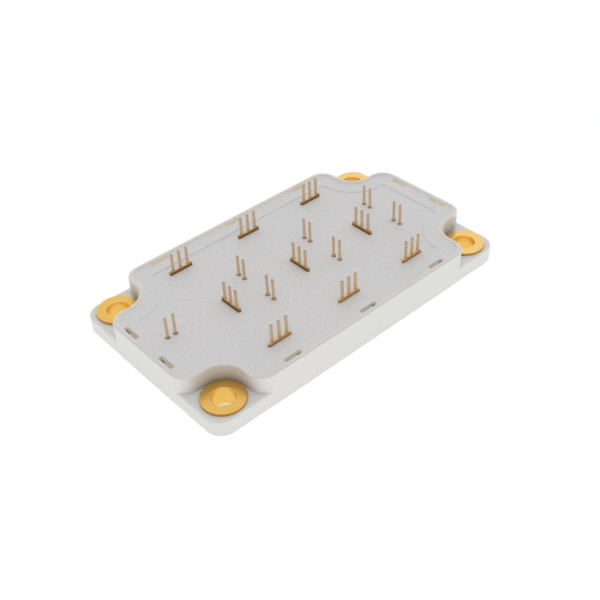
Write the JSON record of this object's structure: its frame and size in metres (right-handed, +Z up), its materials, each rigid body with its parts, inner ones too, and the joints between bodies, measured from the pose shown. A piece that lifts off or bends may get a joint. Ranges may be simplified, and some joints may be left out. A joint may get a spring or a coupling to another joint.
{
  "type": "power mosfet module",
  "caption": "Flat moulded power MOSFET module: scooped screw corners, sunk lid, combs and pins that stand up to meet a circuit board, metal baseplate for cooling.",
  "frame": {"origin": "middle of the baseplate's underside, on the cooling face", "axes": "+X along the long side, away from the thermistor pins; +Y along the short side, towards the plus terminals; +Z up through the lid"},
  "size_m": [0.108, 0.062, 0.0167],
  "materials": {
    "case": "fine-grained moulded thermoplastic, warm off-white",
    "lid": "fine-grained moulded thermoplastic, pale cool grey",
    "plate": "nickel-plated copper, satin",
    "bushing": "turned brass, satin",
    "terminal": "bare bronze-coloured copper alloy, satin",
    "ceramic": "fired alumina, matt",
    "track": "bonded copper, satin",
    "chip": "aluminium-faced silicon, satin",
    "ribbon": "soft aluminium ribbon, bright",
    "sensor": "sintered ceramic, dark"
  },
  "bodies": {
    "root": {"baseplate": "plate", "case_frame": "case", "lid": "lid", "mounting_bushing_1": "bushing", "mounting_bushing_2": "bushing", "mounting_bushing_3": "bushing", "mounting_bushing_4": "bushing", "plus_terminal_1": "terminal", "minus_terminal_1": "terminal", "phase_terminal_1": "terminal", "plus_terminal_2": "terminal", "minus_terminal_2": "terminal", "phase_terminal_2": "terminal", "plus_terminal_3": "terminal", "minus_terminal_3": "terminal", "phase_terminal_3": "terminal", "signal_pin_1": "terminal", "signal_pin_2": "terminal", "signal_pin_3": "terminal", "signal_pin_4": "terminal", "signal_pin_5": "terminal", "signal_pin_6": "terminal", "signal_pin_7": "terminal", "signal_pin_8": "terminal", "signal_pin_9": "terminal", "signal_pin_10": "terminal", "signal_pin_11": "terminal", "signal_pin_12": "terminal", "signal_pin_13": "terminal", "signal_pin_14": "terminal", "ceramic_tile_1": "ceramic", "copper_tracks_1": "track", "high_chip_1a": "chip", "high_chip_1b": "chip", "high_ribbons_1": "ribbon", "low_chip_1a": "chip", "low_chip_1b": "chip", "low_ribbons_1": "ribbon", "ceramic_tile_2": "ceramic", "copper_tracks_2": "track", "high_chip_2a": "chip", "high_chip_2b": "chip", "high_ribbons_2": "ribbon", "low_chip_2a": "chip", "low_chip_2b": "chip", "low_ribbons_2": "ribbon", "ceramic_tile_3": "ceramic", "copper_tracks_3": "track", "high_chip_3a": "chip", "high_chip_3b": "chip", "high_ribbons_3": "ribbon", "low_chip_3a": "chip", "low_chip_3b": "chip", "low_ribbons_3": "ribbon", "thermistor_tile": "ceramic", "thermistor_pads": "track", "thermistor": "sensor"}
  },
  "joints": []
}
